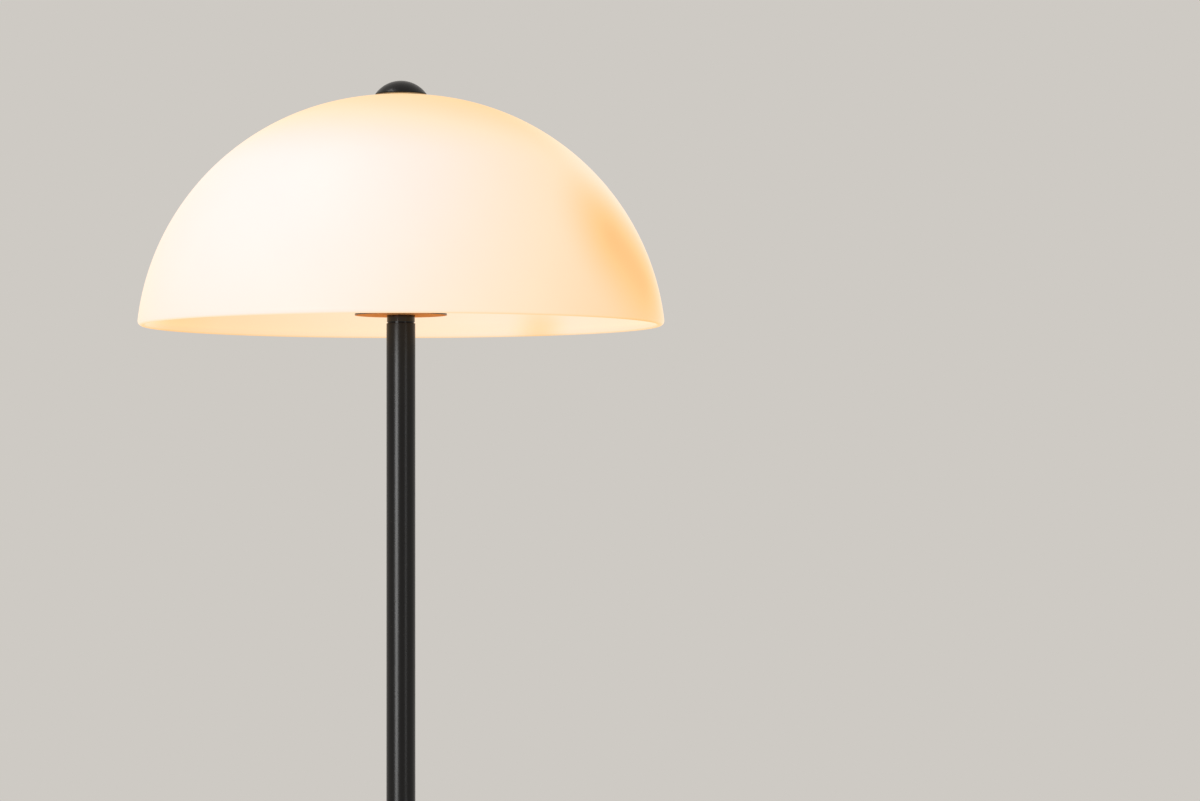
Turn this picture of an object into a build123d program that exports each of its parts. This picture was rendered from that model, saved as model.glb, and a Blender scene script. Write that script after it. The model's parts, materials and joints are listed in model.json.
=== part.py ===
from build123d import *

import os
from math import asin, atan2, cos, degrees, radians, sin, sqrt

# Mushroom floor lamp: a blown opal-glass dome on a slim black stem, with two bulbs inside.
# Millimetres. The origin is the centre of the underside, +Z is up and the cord inlet faces +Y.
# The dome is clamped at its crown: a threaded rod stands on the lamp head, passes through the
# hole in the glass and carries the finial. Heights below run upwards from the floor, and each
# piece takes its place from the piece that carries it.

# ---- Shade -------------------------------------------------------------------------------
shade_radius = 200.0  # outside, at the rim
shade_height = 176.2  # from the foot of the rim to the crown
crown_radius = 240.0  # the flatter arc over the top
crown_seam_radius = 39.0  # how far out the crown arc runs before the rounder side arc
glass_wall = 4.2
rim_bead_radius = 3.5  # the fire-polished rim swells to twice this
shade_hole_radius = 6.0
rim_drop = 2.2  # the foot of the rim lies this far below the top of the stem

# ---- Finial ------------------------------------------------------------------------------
finial_radius = 20.0
finial_ball_radius = 24.0
finial_edge_chamfer = 0.5
finial_clearance = 0.3  # between its flat underside and the crown of the glass
finial_insert_radius = 7.0
finial_insert_height = 7.0
finial_washer_radius = 13.0
finial_washer_thickness = 1.5

# ---- Threaded lamp tube, M10 x 1 ---------------------------------------------------------
rod_radius = 5.0
rod_bore_radius = 3.5
thread_clearance = 0.05  # radial, between a rod and the nut or plug that it screws into
hole_clearance = 0.3  # radial, where a rod passes through a plain hole
nut_across_flats = 14.0
nut_height = 4.0
rod_proud = 1.5  # how far a rod stands out of its nut
blind_end_gap = 1.0  # between a rod's end and the end of its blind thread

# ---- Stem --------------------------------------------------------------------------------
stem_radius = 11.0
stem_wall = 1.5
tube_length = 430.75
tube_end_chamfer = 0.3
plug_height = 15.0
plug_clearance = 0.05
rod_engagement = 13.0  # of a rod in a plug

# ---- Base --------------------------------------------------------------------------------
base_radius = 140.0
base_edge_radius = 6.0
base_crown_rise = 3.0  # from the shoulder up to the flat that the stem stands on
base_flat_radius = 25.0
cover_wall = 1.2
cover_foot_gap = 0.5  # the skirt of the cover stops this far above the pad
weight_height = 21.0
weight_gap = 1.0  # between the casting and the inside of the cover
pad_thickness = 2.5
pad_edge_step = 6.0  # how far the pad stays inside the edge of the base
pad_hole_radius = 24.0
recess_radius = 20.0
recess_depth = 12.0
pocket_count = 6
pocket_inner_radius = 48.0
weight_rim_width = 15.8  # of solid iron, outside the pockets
pocket_depth = 12.0
pocket_corner_radius = 6.0
pocket_draft = 5.0  # degrees
rib_width = 20.0
flat_washer_radius = 15.0
flat_washer_thickness = 2.0
lock_washer_radius = 9.0
lock_washer_thickness = 1.2
lock_washer_split = 1.5

# ---- Cord inlet --------------------------------------------------------------------------
inlet_bore_radius = 3.5
inlet_barrel_radius = 4.75
inlet_flange_radius = 6.0
inlet_flange_thickness = 1.5
inlet_barrel_length = 10.0
inlet_height = 9.0  # of its centre line above the floor
inlet_clearance = 0.1
inlet_lip_chamfer = 0.5

# ---- Neck --------------------------------------------------------------------------------
neck_groove_radius = 9.5
neck_groove_height = 1.0
neck_ring_radius = 10.3
neck_ring_height = 3.8
neck_ring_chamfer = 0.5
neck_recess_height = 1.3
disc_radius = 35.2
disc_thickness = 1.5
disc_edge_chamfer = 0.4

# ---- Lamp head ---------------------------------------------------------------------------
hub_radius = 23.0
hub_wall = 2.5
hub_floor = 3.0
hub_height = 38.0
hub_edge_chamfer = 1.0
lid_thickness = 3.0
lid_spigot_height = 2.0
lid_spigot_clearance = 0.1
lid_screw_circle = 17.0
lid_screw_radius = 1.5
lid_screw_head_radius = 2.8
lid_screw_head_height = 1.8
lid_screw_length = 8.0
lid_post_radius = 3.2
lid_post_floor = 1.0  # between the screw's end and the bottom of its hole
lid_slot_width = 0.8
lid_slot_depth = 0.8
block_length = 24.0
block_width = 13.0
block_height = 11.0
block_ways = 3
block_screw_radius = 1.6
block_screw_height = 3.0
block_slot_width = 0.7
block_slot_depth = 0.7
block_gap = 0.3  # between the block and the nut that it sits above
block_wire_radius = 1.6

# ---- Arms and lampholders ----------------------------------------------------------------
bulb_count = 2
bulb_tilt = 50.0  # degrees from upright
bulb_azimuth = 35.0  # degrees from +X, of the first bulb
bulb_axis_height = 6.0  # where the bulb axes meet, above the underside of the hub
boss_radius = 8.0
boss_reach = 38.0  # along the bulb axis, from the meeting point to the face of the boss
arm_inner_reach = 27.0
arm_nut_height = 3.0
holder_neck_radius = 8.0
holder_neck_length = 5.0
holder_radius = 19.0
holder_cap_length = 18.0
holder_wall = 2.4
holder_length = 50.0
holder_mouth_radius = 14.6
holder_ledge = 3.0
core_thickness = 9.0
core_clearance = 0.2
core_hole_radius = 2.2
leaf_thickness = 0.6
leaf_width = 5.0
leaf_rise = 3.0
leaf_foot_reach = 9.0  # of the centre leaf, from the axis to the end of its foot
leaf_foot_length = 4.0
leaf_crest_width = 4.0
leaf_tip_drop = 1.0
leaf_side_foot = 5.0  # of the side leaf

# ---- Bulbs, 45 mm globes on an E27 cap ---------------------------------------------------
globe_radius = 22.5
bulb_cap_radius = 13.1
bulb_cap_wall = 0.5
bulb_cap_length = 21.0
bulb_contact_radius = 4.8
bulb_contact_height = 2.0
insulator_height = 4.0
insulator_fit = 0.05  # radial, where the insulator turns about the contact
collar_length = 15.0
collar_mouth_radius = 19.0
collar_wall = 1.2
globe_sink = 1.0  # how deep the globe stands in its collar
bulb_seat_clearance = 0.3  # between the contact and the leaf spring below it

# ---- Shade seat --------------------------------------------------------------------------
seat_washer_radius = 17.0
seat_washer_thickness = 2.0
seat_cup_radius = 20.0
seat_cup_thickness = 1.5
seat_cup_rim = 1.5
seat_clearance = 0.3  # between the glass and the washers on each side of it
seat_cup_wall = 1.2

# ---- Cuts ---------------------------------------------------------------------------------
run_out = 1.0  # how far a cut runs past the face that it opens

# ---- Heights that follow -----------------------------------------------------------------
weight_bottom = pad_thickness
weight_top = weight_bottom + weight_height
base_top = weight_top + cover_wall
stem_names = ["lower", "middle", "upper"]
stem_joints = [base_top + tube_length * i for i in range(len(stem_names) + 1)]
stem_top = stem_joints[-1]
neck_top = stem_top + neck_groove_height + neck_ring_height + neck_recess_height
disc_top = neck_top + disc_thickness
hub_top = disc_top + hub_height
lid_top = hub_top + lid_thickness
head_rod_top = disc_top + hub_floor + nut_height + rod_proud
centre_rod_bottom = hub_top - lid_spigot_height - nut_height - rod_proud
rim_level = stem_top - rim_drop
crown_level = rim_level + shade_height
finial_bottom = crown_level + finial_clearance
finial_ball_centre = finial_bottom - sqrt(finial_ball_radius**2 - finial_radius**2)
centre_rod_top = finial_bottom + finial_insert_height - blind_end_gap
tube_bore_radius = stem_radius - stem_wall
rod_hole_radius = rod_radius + hole_clearance
nut_hole_radius = rod_radius + thread_clearance


def keep(solid, name):
    """Write one piece to its own file."""
    export_step(solid, f"parts/{name}.step")


def ring(outer, inner, bottom, top):
    """A plain ring or tube about the Z axis."""
    section = Circle(outer) - Circle(inner)
    return Pos(0, 0, bottom) * extrude(section, top - bottom)


def rod(radius, bottom, top):
    """A plain round bar about the Z axis."""
    return Pos(0, 0, bottom) * extrude(Circle(radius), top - bottom)


def turned(section):
    """Turn a section, drawn as radius and height, about the Z axis."""
    return revolve(Plane.XZ * section, Axis.Z)


def outer_circles(solid, inner):
    """The round edges that lie outside an inner radius."""
    return [edge for edge in solid.edges().filter_by(GeomType.CIRCLE) if edge.radius > inner]


def hex_nut(bottom, height):
    """A plain hexagonal nut for the lamp tube."""
    flats = RegularPolygon(nut_across_flats / 2, 6, major_radius=False)
    return Pos(0, 0, bottom) * extrude(flats - Circle(nut_hole_radius), height)


def lamp_tube(bottom, top):
    """A length of hollow threaded tube, shown at its full thread diameter."""
    return ring(rod_radius, rod_bore_radius, bottom, top)


# ---- Shade and finial --------------------------------------------------------------------
seam_angle = asin(crown_seam_radius / crown_radius)
crown_centre = Vector(0, crown_level - crown_radius)
seam_normal = Vector(sin(seam_angle), cos(seam_angle))
seam_point = crown_centre + seam_normal * (crown_radius - rim_bead_radius)
bead_centre = Vector(shade_radius - rim_bead_radius, rim_level + rim_bead_radius)
# The side arc leaves the crown arc at a tangent and ends at a tangent to the bead's outside. So
# its twin, smaller by the bead's radius, passes through the bead's centre.
seam_to_bead = bead_centre - seam_point
twin_radius = -seam_to_bead.length**2 / (2 * seam_to_bead.dot(seam_normal))
side_centre = seam_point - seam_normal * twin_radius
side_radius = twin_radius + rim_bead_radius
rim_normal = (bead_centre - side_centre) / twin_radius
rim_angle = atan2(rim_normal.X, rim_normal.Y)


def dome_line(inset):
    """The crown arc and the side arc, moved inwards by the inset."""
    seam = 90 - degrees(seam_angle)
    rim = 90 - degrees(rim_angle)
    crown = CenterArc(crown_centre, crown_radius - inset, 90, seam - 90)
    side = CenterArc(side_centre, side_radius - inset, seam, rim - seam)
    return [crown, side]


def shade():
    """The dome: an even wall that ends in a rounded, thicker rim, with a hole at the crown."""
    outside = dome_line(0)
    inside = dome_line(glass_wall)
    at_axis = Line(outside[0] @ 0, inside[0] @ 0)
    at_rim = Line(outside[1] @ 1, inside[1] @ 1)
    wall = make_face([*outside, at_rim, *inside, at_axis])
    bead = Pos(bead_centre.X, bead_centre.Y) * Circle(rim_bead_radius)
    hole = Pos(0, crown_level) * Rectangle(2 * shade_hole_radius, 8 * glass_wall)
    return turned(wall + bead - hole)


def finial_section():
    """Half of a low ball cap with a rounded lower edge."""
    ball = Pos(0, finial_ball_centre) * Circle(finial_ball_radius)
    above = Pos(0, finial_bottom + finial_radius) * Rectangle(2 * finial_radius, 2 * finial_radius)
    right = Pos(finial_radius, finial_bottom) * Rectangle(2 * finial_radius, 4 * finial_radius)
    cap = ball & above & right
    edge = cap.vertices().sort_by(Axis.X)[-1]
    return chamfer(edge, finial_edge_chamfer)


def finial():
    """The black cap nut, bored for its brass insert and recessed for its washer."""
    recess_top = finial_bottom + finial_washer_thickness + finial_clearance
    insert_top = finial_bottom + finial_clearance + finial_insert_height
    bore = rod(finial_insert_radius, finial_bottom - run_out, insert_top)
    recess_radius = finial_washer_radius + finial_clearance
    recess = rod(recess_radius, finial_bottom - run_out, recess_top)
    return turned(finial_section()) - bore - recess


def finial_insert():
    """A brass bush with a blind thread for the centre rod."""
    bottom = finial_bottom + finial_clearance
    body = rod(finial_insert_radius, bottom, bottom + finial_insert_height)
    thread = rod(nut_hole_radius, bottom, centre_rod_top + finial_clearance)
    return body - thread


def finial_washer():
    """A soft ring round the insert, just clear of the glass below it and the finial above."""
    inner = finial_insert_radius + finial_clearance
    bottom = finial_bottom
    return ring(finial_washer_radius, inner, bottom, bottom + finial_washer_thickness)


def crown_underside(radius):
    """The height of the glass's inner surface at a small radius."""
    inner_radius = crown_radius - glass_wall
    return crown_centre.Y + sqrt(inner_radius**2 - radius**2)


seat_washer_top = crown_underside(seat_washer_radius) - seat_clearance
seat_washer_bottom = seat_washer_top - seat_washer_thickness
seat_cup_bottom = seat_washer_bottom - seat_cup_thickness


def seat_cup():
    """A pressed cup that holds the lower washer under the crown."""
    rim_top = seat_washer_bottom + seat_cup_rim
    plate = ring(seat_cup_radius, rod_hole_radius, seat_cup_bottom, seat_washer_bottom)
    rim = ring(seat_cup_radius, seat_cup_radius - seat_cup_wall, seat_washer_bottom, rim_top)
    return plate + rim


# ---- Base --------------------------------------------------------------------------------
def base_section(inset, bottom):
    """Half of the base's outline: upright skirt, rounded shoulder, low cone and middle flat."""
    outer = base_radius - inset
    shoulder = base_top - base_crown_rise - inset
    top = base_top - min(inset, cover_wall)
    outline = Polyline(
        (0, bottom),
        (outer, bottom),
        (outer, shoulder),
        (base_flat_radius, top),
        (0, top),
        close=True,
    )
    face = make_face(outline)
    corner = face.vertices().sort_by(Axis.X)[-2:].sort_by(Axis.Y)[-1]
    return fillet(corner, base_edge_radius - inset)


def base_cover():
    """The spun steel cover over the casting, with holes for the stem's rod and the cord inlet."""
    bottom = weight_bottom + cover_foot_gap
    inside = base_section(cover_wall, bottom - run_out)
    shell = turned(base_section(0, bottom) - inside)
    rod_hole = rod(rod_hole_radius, weight_top - run_out, base_top + run_out)
    hole_radius = inlet_barrel_radius + inlet_clearance
    inlet_hole = inlet_place(0) * Cylinder(hole_radius, 6 * cover_wall)
    return shell - rod_hole - inlet_hole


def weight_pocket():
    """One drafted pocket of the casting, between two ribs of even width, open downwards."""
    half_step = radians(180 / pocket_count)
    apex = rib_width / 2 / sin(half_step)
    reach = 2 * base_radius
    corners = [
        (apex, 0),
        (apex + reach * cos(half_step), reach * sin(half_step)),
        (apex + reach * cos(half_step), -reach * sin(half_step)),
    ]
    wedge = make_face(Polyline(*corners, close=True))
    outer_radius = base_radius - cover_wall - weight_gap - weight_rim_width
    outline = (Circle(outer_radius) - Circle(pocket_inner_radius)) & wedge
    outline = fillet(outline.vertices(), pocket_corner_radius)
    return Pos(0, 0, weight_bottom) * extrude(outline, pocket_depth, taper=pocket_draft)


def base_weight():
    """The iron casting, with ribs between its pockets, a recess for the nut and a cord channel."""
    body = turned(base_section(cover_wall + weight_gap, weight_bottom))
    recess_top = weight_bottom + recess_depth
    body -= rod(recess_radius, weight_bottom - run_out, recess_top)
    body -= rod(rod_hole_radius, recess_top - run_out, weight_top + run_out)
    channel_width = 2 * (inlet_barrel_radius + inlet_clearance)
    channel_top = inlet_height + inlet_barrel_radius + inlet_clearance
    channel = Box(
        channel_width,
        base_radius,
        channel_top - weight_bottom,
        align=(Align.CENTER, Align.MIN, Align.MIN),
    )
    body -= Pos(0, 0, weight_bottom) * channel
    for i in range(pocket_count):
        body -= Rot(0, 0, 360 / pocket_count * i) * weight_pocket()
    return body


def inlet_place(depth):
    """A place on the cord inlet's centre line, a depth inside the skirt, facing outwards."""
    return Pos(0, base_radius - depth, inlet_height) * Rot(-90, 0, 0)


def cord_inlet_bush():
    """The nylon bush that guards the cord where it enters the base, lying along +Y."""
    barrel = Circle(inlet_barrel_radius) - Circle(inlet_bore_radius)
    flange = Circle(inlet_flange_radius) - Circle(inlet_bore_radius)
    bush = extrude(barrel, inlet_barrel_length)
    bush += Pos(0, 0, inlet_barrel_length) * extrude(flange, inlet_flange_thickness)
    lip = bush.edges().group_by(Axis.Z)[-1]
    return inlet_place(inlet_barrel_length - inlet_clearance) * chamfer(lip, inlet_lip_chamfer)


def build_base():
    """The pad, the casting, its cover and the fasteners that clamp the stem to them."""
    pad = ring(base_radius - pad_edge_step, pad_hole_radius, 0, pad_thickness)
    keep(pad, "base_pad")
    keep(base_weight(), "base_weight")
    keep(base_cover(), "base_cover")
    keep(cord_inlet_bush(), "cord_inlet_bush")
    flat_top = weight_bottom + recess_depth
    lock_top = flat_top - flat_washer_thickness
    nut_top = lock_top - lock_washer_thickness
    nut_bottom = nut_top - nut_height
    flat_washer = ring(flat_washer_radius, rod_hole_radius, lock_top, flat_top)
    keep(flat_washer, "base_flat_washer")
    lock_washer = ring(lock_washer_radius, rod_hole_radius, nut_top, lock_top)
    split = Pos(lock_washer_radius, 0, nut_top) * Box(
        2 * lock_washer_radius, lock_washer_split, 4 * lock_washer_thickness
    )
    keep(lock_washer - split, "base_lock_washer")
    keep(hex_nut(nut_bottom, nut_height), "base_nut")
    keep(lamp_tube(nut_bottom - rod_proud, base_top + rod_engagement), "base_rod")


# ---- Stem --------------------------------------------------------------------------------
def build_stem():
    """Three tubes, a threaded plug in each tube end, and a nipple across each joint."""
    plugs = []
    for name, bottom in zip(stem_names, stem_joints):
        top = bottom + tube_length
        tube = ring(stem_radius, tube_bore_radius, bottom, top)
        tube = chamfer(outer_circles(tube, tube_bore_radius), tube_end_chamfer)
        keep(tube, f"stem_{name}_tube")
        for plug_bottom in (bottom, top - plug_height):
            plug_radius = tube_bore_radius - plug_clearance
            plugs.append(ring(plug_radius, nut_hole_radius, plug_bottom, plug_bottom + plug_height))
    keep(Compound(plugs), "stem_plugs")
    for name, joint in zip(["lower", "upper"], stem_joints[1:-1]):
        nipple = lamp_tube(joint - rod_engagement, joint + rod_engagement)
        keep(nipple, f"stem_{name}_nipple")


# ---- Neck and lamp head ------------------------------------------------------------------
def neck_ring():
    """One turned ring: a narrow foot that reads as a groove, a rounded band and a recess."""
    band_bottom = stem_top + neck_groove_height
    band_top = band_bottom + neck_ring_height
    band = ring(neck_ring_radius, nut_hole_radius, band_bottom, band_top)
    band = chamfer(outer_circles(band, nut_hole_radius), neck_ring_chamfer)
    return band + ring(neck_groove_radius, nut_hole_radius, stem_top, neck_top)


def lamp_disc():
    """The round plate under the shade."""
    disc = ring(disc_radius, rod_hole_radius, neck_top, disc_top)
    return chamfer(outer_circles(disc, rod_hole_radius), disc_edge_chamfer)


def arm_places():
    """The places along each bulb axis: one per bulb, +Z outwards from where the axes meet."""
    meeting = Pos(0, 0, disc_top + bulb_axis_height)
    turns = [bulb_azimuth + 360 / bulb_count * i for i in range(bulb_count)]
    return [meeting * Rot(0, 0, turn) * Rot(0, bulb_tilt, 0) for turn in turns]


def lid_screw_places():
    """The places of the lid's screws, between the arms."""
    turns = [bulb_azimuth + 90 + 180 * i for i in range(2)]
    return [Rot(0, 0, turn) * Pos(lid_screw_circle, 0, 0) for turn in turns]


def hub_body():
    """A cast cup on the disc, with a faced boss for each arm and two posts for the lid."""
    body = Pos(0, 0, disc_top) * extrude(Circle(hub_radius), hub_height)
    for place in arm_places():
        body += place * extrude(Circle(boss_radius), boss_reach)
    body -= rod(hub_radius - hub_wall, disc_top + hub_floor, hub_top + run_out)
    screw_hole_bottom = lid_top - lid_screw_length - lid_post_floor
    for place in lid_screw_places():
        post = place * rod(lid_post_radius, disc_top + hub_floor, hub_top - lid_spigot_height)
        body += post - place * rod(lid_screw_radius, screw_hole_bottom, hub_top)
    for place in arm_places():
        body -= place * extrude(Circle(nut_hole_radius), 2 * boss_reach)
    below = rod(2 * hub_radius, disc_top - hub_height, disc_top)
    rod_hole = rod(rod_hole_radius, disc_top - run_out, disc_top + hub_floor + run_out)
    return body - rod_hole - below


def hub_lid():
    """The lid that carries the centre rod, with a spigot inside the hub's wall."""
    spigot_radius = hub_radius - hub_wall - lid_spigot_clearance
    lid = ring(hub_radius, nut_hole_radius, hub_top, lid_top)
    lid = chamfer(lid.edges().group_by(Axis.Z)[-1].sort_by(SortBy.LENGTH)[-1], hub_edge_chamfer)
    lid += ring(spigot_radius, nut_hole_radius, hub_top - lid_spigot_height, hub_top)
    for place in lid_screw_places():
        hole = lid_screw_radius + hole_clearance
        lid -= place * rod(hole, hub_top - lid_spigot_height - run_out, lid_top + run_out)
    return lid


def lid_screws():
    """The two screws that hold the lid, as separate solids of one group."""
    screws = []
    head_top = lid_top + lid_screw_head_height
    for place in lid_screw_places():
        shank = rod(lid_screw_radius - thread_clearance, lid_top - lid_screw_length, lid_top)
        head = rod(lid_screw_head_radius, lid_top, head_top)
        slot = Box(3 * lid_screw_head_radius, lid_slot_width, 2 * lid_slot_depth)
        screws.append(place * (shank + head - Pos(0, 0, head_top) * slot))
    return Compound(screws)


block_bottom = head_rod_top + block_gap


def block_way_places():
    """The places of the terminal block's screws, in a row above it."""
    pitch = block_length / block_ways
    first = -pitch * (block_ways - 1) / 2
    turn = Rot(0, 0, bulb_azimuth)
    return [turn * Pos(first + pitch * i, 0, block_bottom + block_height) for i in range(block_ways)]


def terminal_block():
    """The block that joins the mains lead to the lampholders' wires."""
    body = Pos(0, 0, block_bottom) * Rot(0, 0, bulb_azimuth) * Box(
        block_length, block_width, block_height, align=(Align.CENTER, Align.CENTER, Align.MIN)
    )
    for place in block_way_places():
        body -= place * Cylinder(block_screw_radius + thread_clearance, 2 * block_screw_height)
        wire_way = Pos(0, 0, -block_height / 2) * Rot(90, 0, 0)
        body -= place * wire_way * Cylinder(block_wire_radius, 2 * block_width)
    return body


def terminal_screws():
    """The block's clamping screws, as separate solids of one group."""
    screw = rod(block_screw_radius, -block_screw_height, 0)
    slot = Box(2 * block_screw_radius, block_slot_width, 2 * block_slot_depth)
    return Compound([place * (screw - slot) for place in block_way_places()])


def build_head():
    """The neck, the disc, and the hub with its lid and terminal block."""
    keep(neck_ring(), "neck_ring")
    keep(lamp_disc(), "lamp_disc")
    keep(lamp_tube(stem_top - rod_engagement, head_rod_top), "head_rod")
    keep(hex_nut(disc_top + hub_floor, nut_height), "head_nut")
    keep(hub_body(), "hub_body")
    keep(hub_lid(), "hub_lid")
    keep(lid_screws(), "hub_lid_screws")
    keep(terminal_block(), "terminal_block")
    keep(terminal_screws(), "terminal_screws")
    keep(lamp_tube(centre_rod_bottom, centre_rod_top), "centre_rod")
    keep(hex_nut(centre_rod_bottom + rod_proud, nut_height), "centre_rod_lower_nut")
    keep(hex_nut(lid_top, nut_height), "centre_rod_upper_nut")


# ---- Lampholders and bulbs, drawn upright from the face of the arm's nut ------------------
holder_start = boss_reach + arm_nut_height
core_bottom = holder_cap_length - holder_ledge
core_top = core_bottom + core_thickness
core_radius = holder_radius - holder_wall - core_clearance
contact_bottom = core_top + leaf_rise + leaf_thickness + bulb_seat_clearance
insulator_bottom = contact_bottom + bulb_contact_height / 2
cap_bottom = insulator_bottom + insulator_height
collar_bottom = cap_bottom + bulb_cap_length
collar_top = collar_bottom + collar_length
globe_base = collar_top - globe_sink
globe_neck_radius = collar_mouth_radius - collar_wall - plug_clearance
globe_centre = collar_top + sqrt(globe_radius**2 - globe_neck_radius**2)


def holder_cap():
    """The holder's back: a threaded neck that flares to a cup with a ledge for the core."""
    outline = Polyline(
        (nut_hole_radius, 0),
        (holder_neck_radius, 0),
        (holder_neck_radius, holder_neck_length),
        (holder_radius, core_bottom - holder_wall),
        (holder_radius, holder_cap_length),
        (holder_radius - holder_wall, holder_cap_length),
        (holder_radius - holder_wall, core_bottom),
        (core_radius - holder_wall, core_bottom),
        (nut_hole_radius + 0.5, holder_neck_length + holder_wall),
        (nut_hole_radius, holder_neck_length + holder_wall),
        close=True,
    )
    return turned(make_face(outline))


def holder_skirt():
    """The front shell, which screws to the back and shrouds the bulb's cap."""
    outline = Polyline(
        (core_radius + core_clearance, holder_cap_length),
        (holder_radius, holder_cap_length),
        (holder_radius, holder_length),
        (holder_mouth_radius, holder_length),
        (holder_mouth_radius, core_top),
        (core_radius + core_clearance, core_top),
        close=True,
    )
    return turned(make_face(outline))


def holder_core():
    """The ceramic insert, pierced for its two wires, that carries the contacts."""
    core = rod(core_radius, core_bottom, core_top)
    for side in (-1, 1):
        core -= Pos(0, side * core_radius / 2, 0) * rod(core_hole_radius, 0, core_top + run_out)
    return core


def strip(points):
    """A bent leaf of even thickness, drawn on its middle line, across the holder."""
    section = trace(Polyline(*points), line_width=leaf_thickness)
    return extrude(Plane.XZ * section, leaf_width / 2, both=True)


def holder_centre_contact():
    """The sprung leaf that the end of the bulb presses on."""
    low = core_top + leaf_thickness / 2
    high = low + leaf_rise
    half_crest = leaf_crest_width / 2
    return strip(
        [
            (-leaf_foot_reach, low),
            (leaf_foot_length - leaf_foot_reach, low),
            (-half_crest, high),
            (half_crest, high),
            (2 * half_crest, high - leaf_tip_drop),
        ]
    )


def holder_side_contact():
    """The leaf that stands on the core and bears on the side of the bulb's cap."""
    low = core_top + leaf_thickness / 2
    wall = holder_mouth_radius - leaf_thickness
    return strip([(wall - leaf_side_foot, low), (wall, low), (wall, cap_bottom + leaf_width)])


def bulb_insulator():
    """The glass button between the bulb's two contacts."""
    seat_radius = bulb_contact_radius + insulator_fit
    seat_top = contact_bottom + bulb_contact_height + insulator_fit
    outline = Polyline(
        (0, seat_top),
        (seat_radius, seat_top),
        (seat_radius, insulator_bottom),
        (bulb_contact_radius + 2, insulator_bottom),
        (bulb_cap_radius - bulb_cap_wall, cap_bottom),
        (0, cap_bottom),
        close=True,
    )
    return turned(make_face(outline))


def bulb_collar():
    """The flared plastic collar between the screw cap and the globe."""
    outline = Polyline(
        (bulb_cap_radius - collar_wall, collar_bottom),
        (bulb_cap_radius, collar_bottom),
        (collar_mouth_radius, collar_top - 2 * globe_sink),
        (collar_mouth_radius, collar_top),
        (collar_mouth_radius - collar_wall, collar_top),
        (collar_mouth_radius - collar_wall, globe_base),
        (collar_mouth_radius - 2 * collar_wall, globe_base),
        close=True,
    )
    return turned(make_face(outline))


def bulb_globe():
    """The frosted globe, cut flat where it stands in its collar."""
    globe = Pos(0, 0, globe_centre) * Sphere(globe_radius)
    return globe - rod(2 * globe_radius, globe_centre - 2 * globe_radius, globe_base)


def build_lights():
    """An arm, its nut, a lampholder and a bulb on each axis."""
    arm = lamp_tube(arm_inner_reach, holder_start + holder_neck_length + holder_wall)
    contact_top = contact_bottom + bulb_contact_height
    pieces = {
        "holder_{}_cap": holder_cap(),
        "holder_{}_skirt": holder_skirt(),
        "holder_{}_core": holder_core(),
        "holder_{}_centre_contact": holder_centre_contact(),
        "holder_{}_side_contact": holder_side_contact(),
        "bulb_{}_contact": rod(bulb_contact_radius, contact_bottom, contact_top),
        "bulb_{}_insulator": bulb_insulator(),
        "bulb_{}_screw_cap": ring(
            bulb_cap_radius, bulb_cap_radius - bulb_cap_wall, cap_bottom, collar_bottom
        ),
        "bulb_{}_collar": bulb_collar(),
        "bulb_{}_globe": bulb_globe(),
    }
    for number, place in enumerate(arm_places(), start=1):
        keep(place * arm, f"arm_{number}")
        keep(place * hex_nut(boss_reach, arm_nut_height), f"arm_{number}_nut")
        for name, piece in pieces.items():
            keep(place * Pos(0, 0, holder_start) * piece, name.format(number))


def build_shade():
    """The glass, what it sits on, and what clamps it from above."""
    keep(hex_nut(seat_cup_bottom - nut_height, nut_height), "seat_nut")
    keep(seat_cup(), "seat_cup")
    washer = ring(seat_washer_radius, rod_hole_radius, seat_washer_bottom, seat_washer_top)
    keep(washer, "seat_washer")
    keep(shade(), "shade")
    keep(finial_washer(), "finial_washer")
    keep(finial_insert(), "finial_insert")
    keep(finial(), "finial")


os.makedirs("parts", exist_ok=True)
build_base()
build_stem()
build_head()
build_lights()
build_shade()
lamp_height = finial_ball_centre + finial_ball_radius
print(f"height {lamp_height:.2f}, glass from {rim_level:.2f} to {crown_level:.2f}")
print(f"side arc radius {side_radius:.2f}, rim lean {90 - degrees(rim_angle):.2f} degrees")
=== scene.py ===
# %% [markdown]
# # A mushroom floor lamp, dressed in Blender
# The construction comes first: every piece of the lamp arrives as a fixed frame, at its real size,
# in metres. This file gives each piece the finish that the real one has. Where a piece shows from
# a step away, a smoother mesh stands in for the faceted solid, in the very same place.

import json
import math

import bmesh
import bpy
from mathutils import Matrix, Vector


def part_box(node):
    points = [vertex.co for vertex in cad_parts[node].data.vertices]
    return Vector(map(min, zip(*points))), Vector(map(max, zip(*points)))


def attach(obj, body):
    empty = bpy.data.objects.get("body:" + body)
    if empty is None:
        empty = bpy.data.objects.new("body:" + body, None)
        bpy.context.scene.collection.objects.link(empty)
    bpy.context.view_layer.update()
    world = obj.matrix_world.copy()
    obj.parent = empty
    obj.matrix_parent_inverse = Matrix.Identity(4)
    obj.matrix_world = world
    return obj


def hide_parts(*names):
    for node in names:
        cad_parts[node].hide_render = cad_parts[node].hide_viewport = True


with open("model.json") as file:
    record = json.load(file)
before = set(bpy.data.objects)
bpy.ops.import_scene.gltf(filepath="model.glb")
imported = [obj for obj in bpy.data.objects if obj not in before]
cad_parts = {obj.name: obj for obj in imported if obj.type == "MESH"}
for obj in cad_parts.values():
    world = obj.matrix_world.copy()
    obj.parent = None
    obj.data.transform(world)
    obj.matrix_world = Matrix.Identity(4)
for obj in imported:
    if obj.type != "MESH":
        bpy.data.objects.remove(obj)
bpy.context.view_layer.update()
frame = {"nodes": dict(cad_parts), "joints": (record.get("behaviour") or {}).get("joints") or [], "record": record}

MM = 0.001


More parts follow.
